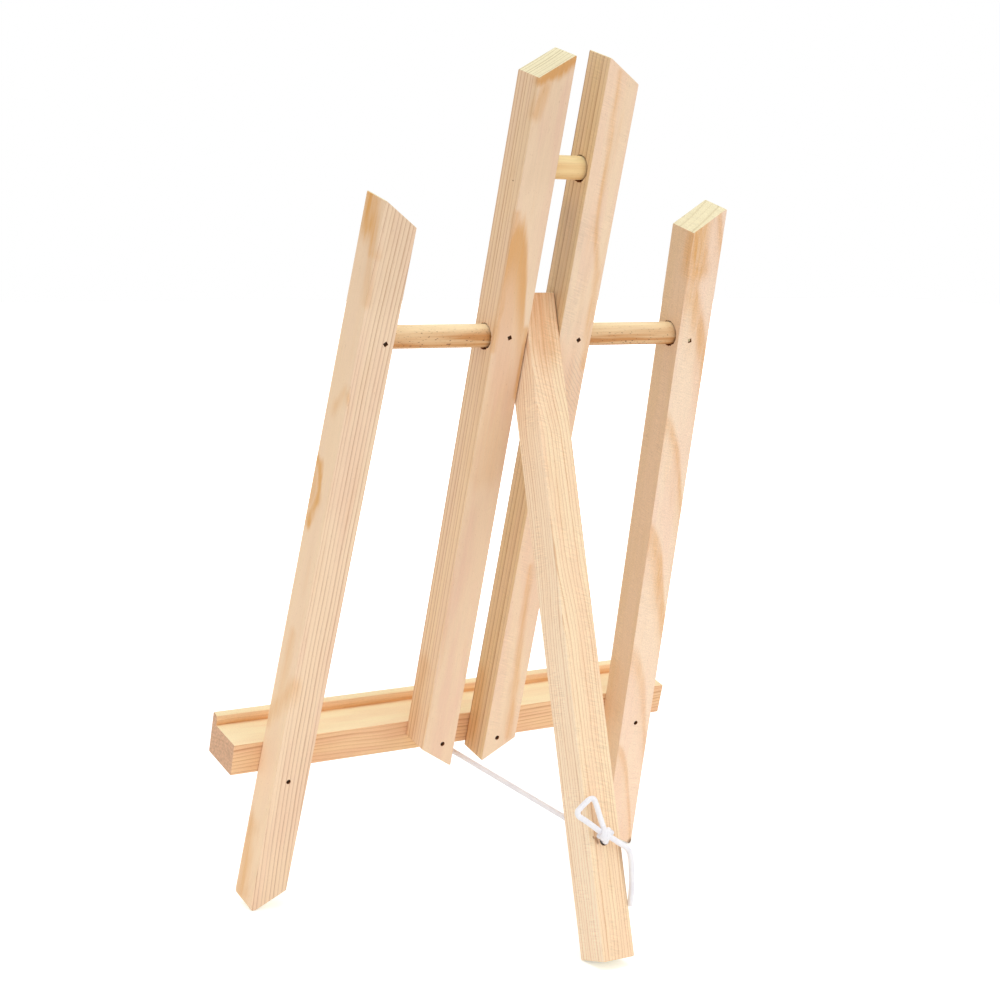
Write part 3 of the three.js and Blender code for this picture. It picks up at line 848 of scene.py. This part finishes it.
def makeFrameBars():
    for name, bar in bars.items():
        side = bar["side"]
        place = easelPlace @ Matrix.Translation((side * bar["across"], 0, 0))
        place = place @ Matrix.Rotation(-side * bar["splay"], 4, "Y")
        toeRound = stock["endRound"] if bar["isMast"] else bar["toeRound"]
        drop = bar["drop"] if bar["isMast"] else toeDrop(bar["splay"], toeRound)
        tip, toe = (bar["rise"] - stock["short"], stock["endRound"]), (stock["short"] - drop, toeRound)
        piece = sawBar(f"{name}_bar", tip, toe, -side if bar["isMast"] else side)
        piece.data.materials.append(pineFinish(f"pine {name}", place, bar["figure"]))
        drillBar(piece, bar, place.inverted() @ easelPlace, labelOf(name))
        pinhole = barHoles["pinhole"]
        if name == pinhole["bar"]:
            begin, run = Vector(pinhole["place"]), Vector((pinhole["depth"], 0, 0))
            drill(piece, pinhole["radius"], begin - run, begin + run, pinhole["sides"])
        finishPiece(piece, place, "frame", "pine_mast" if bar["isMast"] else "pine_side", name)


makeFrameBars()
print("frame bars sawn")

# the rear leg
rearLeg = {
    "head": 20 * mm,  # above the pivot
    "relief": 0.5 * mm,  # of the bevelled head, behind the masts' front
    "bevelReach": 60 * mm,
    "bore": 6.35 * mm, "cordHole": 2.5 * mm,  # radii
    "holeShift": (0.6 * mm, 0, 0.7 * mm),  # of the cord's hole at the rear face
    "figure": {
        "seed": 53.0, "pith": (55, 50), "arches": [(-70, 95, -1, 5.5), (25, 80, 6, 0)], "ring": 1.6,
        "phase": 0.2, "sway": (1.6, 12, 60), "ripple": (1.3, 5, 22), "early": "fae0bb", "side": "ffe8c9",
        "blush": "f8d3b0", "orange": "e0a470", "lateRear": "d49f70", "lateSide": "cf9a6c", "onSides": 0.75,
        "even": 0.88, "speckle": 0.3, "sawn": 0.4, "paintedFloorLight": 0.08,
        "streaks": [((0, 10, 24), (0, 10, -6), 13, 0.8)],
        "stainAndShade": "8a5430",
        # painted shadow: the first is the tail cord's shadow down the leg's edge below the knot; the other
        # two are small dark marks at the knot's edge
        "stainsAndShade": [((-8.8, 10, -262), (-9.5, 10, -292), 1.5, 0.7),
                   ((5.2, 10, -257.5), (4.6, 10, -259.5), 0.9, 0.8),
                   ((6.8, 10, -256.4), (6.5, 10, -257), 0.5, 0.8)],
    },
}


def makeRearLeg(settings):
    thick, wide = stock["width"], stock["depth"]
    foot = pivot.z / cos(frameTilt) - thick / 2 * tan(frameTilt)
    leg = block("rear_leg_bar", (-wide / 2, -thick / 2, -foot), (wide / 2, thick / 2, settings["head"]))
    leg.data.materials.append(pineFinish("pine rear_leg", legPlace, settings["figure"]))
    editing(leg)
    easeEdges(leg, stock["endRound"], lambda a, b: abs(a.y - b.y) > thick / 2)
    easeEdges(leg, stock["ease"], lambda a, b: abs(a.y - b.y) < level)
    doneEditing()
    toLeg = legPlace.inverted()
    reach = settings["bevelReach"]
    bevel = block("bevel", (-reach, -reach, 0), (reach, settings["relief"], reach))
    bevel.data.transform(toLeg @ easelPlace)
    cutAway(leg, bevel)
    drill(leg, settings["bore"], Vector((-wide, 0, 0)), Vector((wide, 0, 0)))
    entry, leave = [toLeg @ onStay(cordSettings["stay"][i]) for i in cordSettings["inLeg"]]
    leave += Vector(settings["holeShift"])
    beyond = leave + (leave - entry).normalized() * barHoles["overrun"]
    drill(leg, settings["cordHole"], entry, beyond, cordSettings["holeSides"])
    finishPiece(leg, legPlace, "rear_leg", "pine_rear", "rear_leg")


makeRearLeg(rearLeg)
print("rear leg sawn")

# the ledge
ledgeSettings = {
    "length": 280 * mm, "rail": 18 * mm, "depth": 27.5 * mm, "lip": 4.8 * mm, "lipHeight": 5.8 * mm,
    "round": 0.7 * mm, "lipRound": 3 * mm,
    "offset": -5.5 * mm, "seat": -225.3 * mm, "tilt": radians(0.58),
    "gap": 0.3 * mm,  # for the glue
    "nailDepth": 14 * mm, "cordHole": 1.9 * mm,  # the hole's radius
    "figure": {
        "seed": 67.0, "pith": (75, 2), "ring": 2.2, "phase": 0.3, "sway": (9, 45, 80), "ripple": (1.2, 9, 40),
        "early": "f9d0a2", "side": "fdebc0", "blush": "f2c098", "orange": "e6a86a", "lateRear": "bd7b50",
        "lateSide": "edc892", "endEarly": "d9ad8a", "endLate": "b07850", "onSides": 0.12, "onRear": 0.9,
        "onEnds": 0.3, "speckle": 0.25, "paintedFloorLight": 0.0, "rough": 0.9,
        "calm": [((-4, -22.7, -150), (-4, -22.7, 150), 4, 0.9), ((9, 0, 85), (9, 0, 35), 9, 0.5)],
        # painted shade: the first streak is an orange band along the crease where the lip rises from the seat
        "streaks": [((-0.8, -22.7, -150), (-0.8, -22.7, 150), 1.5, 0.7)],
    },
}


def shapeRail(rail, settings):  # draws up the lip along the front and eases the edges
    half, front = settings["length"] / 2, -settings["depth"]
    lipBack, lipTop = front + settings["lip"], settings["lipHeight"]

    def isLong(a, b):
        return abs(a.x - b.x) > half

    def inStep(corner):  # along the inner foot and top of the lip
        return abs(corner.y - lipBack) < slack

    def onSeam(corner):  # where the lip stands on the rail
        return abs(corner.z) < slack and corner.y < lipBack + slack

    editing(rail)
    bpy.ops.mesh.select_all(action="SELECT")
    bpy.ops.mesh.bisect(plane_co=(0, lipBack, 0), plane_no=(0, 1, 0))
    bpy.ops.mesh.select_mode(type="FACE")
    pickFaces(rail, lambda middle, normal: normal.z > 0.5 and middle.y < lipBack)
    bpy.ops.mesh.extrude_region_move(TRANSFORM_OT_translate={"value": (0, 0, lipTop)})
    bpy.ops.mesh.select_mode(type="EDGE")
    easeEdges(rail, settings["round"], lambda a, b: isLong(a, b) and not inStep(a) and not onSeam(a))
    easeEdges(rail, settings["lipRound"], lambda a, b: isLong(a, b) and inStep(a) and a.z > lipTop - slack)
    easeEdges(rail, stock["ease"], lambda a, b: abs(a.x - b.x) < level and not (onSeam(a) and onSeam(b)))
    doneEditing()


def makeLedge(settings):
    half, overrun = settings["length"] / 2, barHoles["overrun"]
    place = easelPlace @ Matrix.Translation((settings["offset"], -settings["gap"], settings["seat"]))
    place = place @ Matrix.Rotation(settings["tilt"], 4, "Y")
    along = place @ Matrix.Rotation(radians(90), 4, "Y")  # the ledge's grain runs from end to end
    rail = block("ledge_rail", (-half, -settings["depth"], -settings["rail"]), (half, 0, 0))
    rail.data.materials.append(pineFinish("pine ledge", along, settings["figure"]))
    shapeRail(rail, settings)
    toRail = place.inverted()
    back = (toRail @ easelPlace).to_3x3() @ Vector((0, 1, 0))
    for name in bars:
        nail = toRail @ (easelPlace @ inEasel(f"ledge_nail_{labelOf(name)}"))
        tip, head = nail - back * (nail.y + settings["nailDepth"]), nail - back * (nail.y - overrun)
        drill(rail, barHoles["nail"], tip, head, barHoles["nailSides"])
    glued, mouth = [toRail @ onStay(cordSettings["stay"][i]) for i in cordSettings["inLedge"]]
    way = (mouth - glued).normalized()
    drill(rail, settings["cordHole"], glued - way * settings["gap"], mouth + way * overrun,
          cordSettings["holeSides"])
    finishPiece(rail, place, "frame", "pine_ledge", "canvas_ledge")


makeLedge(ledgeSettings)
print("ledge shaped")

# dowels
dowelSettings = {
    "radius": 6 * mm, "sides": 64, "chamfer": 0.6 * mm, "steps": 2,
    # pale is the rod's colour on top; dark is its streaks and the painted shade on its lower side
    "hinge": {"seed": 5.0, "pale": "ffe9bd", "dark": "c5894f", "fleck": "6a3a1e", "flecks": 1.0,
              "streaky": 0.8},
    "top": {"seed": 8.0, "pale": "ffeeb9", "dark": "e0b072", "fleck": "a0683c", "flecks": 0.15,
            "streaky": 0.4},
}


def dowelFinish(name, settings):
    material, shader, where = newMaterial(name)
    facing = where.node("ShaderNodeTexCoord", {}, {}, "Normal")
    toRod = {"Vector": where, "Rotation": (0, radians(90), 0), "Scale": (mm, mm, mm)}
    inRod = where.node("ShaderNodeMapping", {"vector_type": "TEXTURE"}, toRod)
    seed = settings["seed"]
    paintedUnderShade = 1 - facing.part(2).between(-0.1, 0.9)  # painted shade: darker where the rod's surface faces down
    streaky = inRod.cloud(3, 60, seed, 2).between(0.35, 0.65) * (paintedUnderShade * 0.7 + 0.3) * settings["streaky"]
    streaksAndUnderShade = (streaky + paintedUnderShade) * 0.6
    fibre = inRod.cloud(0.35, 14, seed + 1, 2)
    ticks = inRod.cloud(0.8, 2.0, seed + 2, 1).between(0.64, 0.71) * paintedUnderShade * settings["flecks"]
    scratches = inRod.cloud(0.25, 3, seed + 3, 1).between(0.66, 0.74) * 0.5 * settings["flecks"]
    wood = streaksAndUnderShade.blend(tint(settings["pale"]), tint(settings["dark"]))
    wood = ticks.larger(scratches).blend(wood, tint(settings["fleck"]))
    shaded = wood.scaled((fibre - 0.5) * 0.25 + 1)
    finishWith(shader, shaded, fibre * 0.2 + 0.42, fibre - ticks, 0.06 * mm, 0.35)
    return material


def makeDowel(name, node, settings):
    low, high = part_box(node)
    middle = (low + high) / 2
    ends = [(across, middle.y, middle.z) for across in (low.x, high.x)]
    rod = roundBar(name, dowelSettings["radius"], *ends, dowelSettings["sides"])
    editing(rod)
    pickEdges(rod, lambda a, b: abs(a.x - b.x) < level)
    bpy.ops.mesh.bevel(offset=dowelSettings["chamfer"], segments=dowelSettings["steps"], affect="EDGES")
    doneEditing()
    rod.data.materials.append(dowelFinish(f"{name} wood", settings))
    finishPiece(rod, Matrix.Identity(4), "frame", "dowel", node)


makeDowel("hinge_rod", "hinge_dowel", dowelSettings["hinge"])
makeDowel("top_rod", "top_dowel", dowelSettings["top"])
print("dowels turned")

# brads and nails
steelSettings = {
    "dark": ("22140a", "4c3219"), "tarnished": ("a39468", "d9cda8"),  # rust varies between the two
    "paleBrad": "side_left",
    "sunk": 0.5 * mm,  # a brad's top, below the rear face
    "head": 1 * mm, "blunt": 0.35 * mm,  # down to here its edges are blunted by so much
}


def steelFinish(name, shades):
    material, shader, where = newMaterial(name)
    rust = where.cloud(0.5 * mm, 0.5 * mm, 2.0, 3)
    shader.inputs["Metallic"].default_value = 0.3
    finishWith(shader, rust.blend(*map(tint, shades)), rust * 0.3 + 0.55, rust, 0.08 * mm, 0.25)
    return material


def makeBrads(settings, steel, tarnished):  # square brads with blunt, slightly turned heads, over the dowel
    top = stock["depth"] - settings["sunk"]
    headFrom = stock["depth"] - settings["head"]
    for name, bar in bars.items():
        label = labelOf(name)
        brad = bradBlock(f"brad_{label}", label, bar["bradTurn"], barHoles["bradHead"], top)
        editing(brad)
        easeEdges(brad, settings["blunt"], lambda a, b: min(a.y, b.y) > headFrom)
        doneEditing()
        brad.data.materials.append(tarnished if label == settings["paleBrad"] else steel)
        finishPiece(brad, easelPlace, "frame", "steel", f"dowel_brad_{label}")


steel = steelFinish("dark steel", steelSettings["dark"])
makeBrads(steelSettings, steel, steelFinish("tarnished steel", steelSettings["tarnished"]))
for node, piece in frame["nodes"].items():
    if "_nail_" in node:
        piece.data.materials.clear()
        piece.data.materials.append(steel)
print("brads and nails set")

# floor, light and backdrop
stageSettings = {
    "size": 12, "floor": "ffffff", "world": 0.64,  # the world's light on the easel, 1 behind it
    "floorGlow": 0.35, "fadeFrom": 0.35, "fadeTo": 1.2,  # the floor turns plain white between the two
    "aim": (0, 0, 0.2),  # of the lamps
    "top": {"place": (0.2, 0.2, 3.0), "size": 3.0, "power": 34},
    "key": {"place": (-1.8, 3.0, 1.0), "size": 2.4, "power": 24},
    "fill": {"place": (3.2, 1.6, 0.3), "size": 2.8, "power": 16},
}


def backdropRays(wire):  # 1 on the rays that look at the backdrop, also in metal and through glass
    kinds = ("Camera", "Glossy", "Transmission")
    seen, *others = [wire.node("ShaderNodeLightPath", {}, {}, f"Is {kind} Ray") for kind in kinds]
    for other in others:
        seen = seen.larger(other)
    return seen


def setStage(settings):
    clearSelection()
    bpy.ops.mesh.primitive_plane_add(size=settings["size"])
    floor = bpy.context.object
    floor.name = "floor"
    material, shader, where = newMaterial("floor")
    shader.inputs["Base Color"].default_value = tint(settings["floor"])
    shader.inputs["Roughness"].default_value = 0.9
    far = where.length().between(settings["fadeFrom"], settings["fadeTo"])
    seen = backdropRays(where)
    glow = seen * (far * (1 - settings["floorGlow"]) + settings["floorGlow"])
    where.tree.links.new(seen.blend(grey(0), glow).socket, shader.inputs["Emission Color"])
    shader.inputs["Emission Strength"].default_value = 1
    floor.data.materials.append(material)
    for name in ("top", "key", "fill"):
        lamp = settings[name]
        light = bpy.data.objects.new(name, bpy.data.lights.new(name, "AREA"))
        bpy.context.scene.collection.objects.link(light)
        light.location = lamp["place"]
        beam = Vector(settings["aim"]) - Vector(lamp["place"])
        light.rotation_euler = beam.to_track_quat("-Z", "Y").to_euler()
        light.data.size = lamp["size"]
        light.data.energy = lamp["power"]
    world = bpy.data.worlds.new("studio")
    bpy.context.scene.world = world
    world.use_nodes = True
    background = world.node_tree.nodes["Background"]
    background.inputs["Color"].default_value = grey(1)
    seen = backdropRays(Wire(world.node_tree))
    strength = seen * (1 - settings["world"]) + settings["world"]
    world.node_tree.links.new(strength.socket, background.inputs["Strength"])
    bpy.context.scene.view_settings.view_transform = "Standard"


setStage(stageSettings)
print("stage set")
